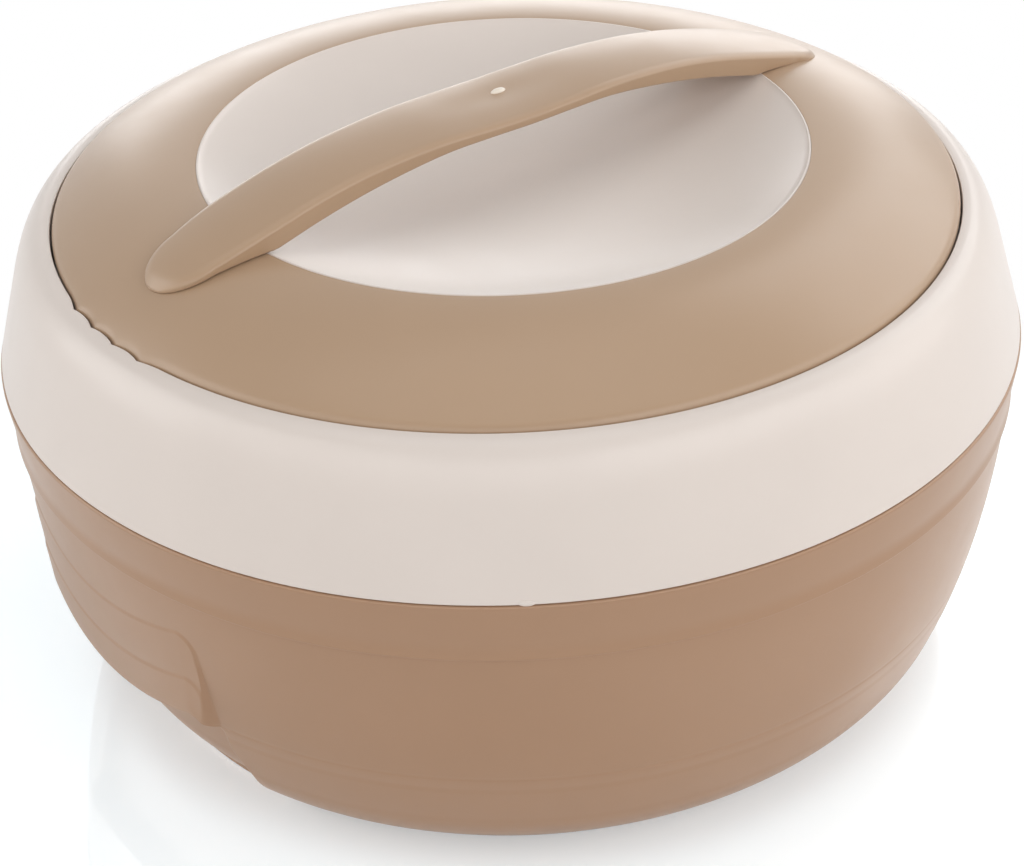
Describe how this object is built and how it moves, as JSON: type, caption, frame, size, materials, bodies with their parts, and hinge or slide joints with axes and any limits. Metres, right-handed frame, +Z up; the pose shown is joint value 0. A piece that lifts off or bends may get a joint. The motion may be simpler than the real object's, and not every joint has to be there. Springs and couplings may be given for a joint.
{
  "type": "insulated food container",
  "caption": "Round double-walled food container with a tan base, a cream collar, a steel bowl and a domed lift-off lid with a strap handle.",
  "frame": {"origin": "middle of the foot ring, on the surface the container stands on", "axes": "+Z up along the bowl's axis, X along the lid's strap handle and through both side grips, Y across the handle"},
  "size_m": [0.27, 0.27, 0.1553],
  "materials": {
    "tan_plastic": "satin moulded, fine grain",
    "cream_plastic": "satin moulded",
    "stainless_steel": "turned satin",
    "rigid_foam": "closed-cell foam",
    "clear_silicone": "soft matte",
    "zinc_steel": "zinc plated"
  },
  "bodies": {
    "container": {"base_shell": "tan_plastic", "collar_ring": "cream_plastic", "inner_bowl": "stainless_steel", "body_insulation": "rigid_foam", "filler_plug": "tan_plastic"},
    "lid": {"lid_cover": "tan_plastic", "lid_dish": "cream_plastic", "lid_handle": "tan_plastic", "lid_liner": "cream_plastic", "lid_insulation": "rigid_foam", "lid_gasket": "clear_silicone", "handle_screw_front": "zinc_steel", "handle_screw_rear": "zinc_steel"}
  },
  "joints": [
    {"name": "lid_lift", "type": "slide", "parent": "container", "child": "lid", "axis": [0, 0, 1], "range_m": [0, 0.1]}
  ]
}
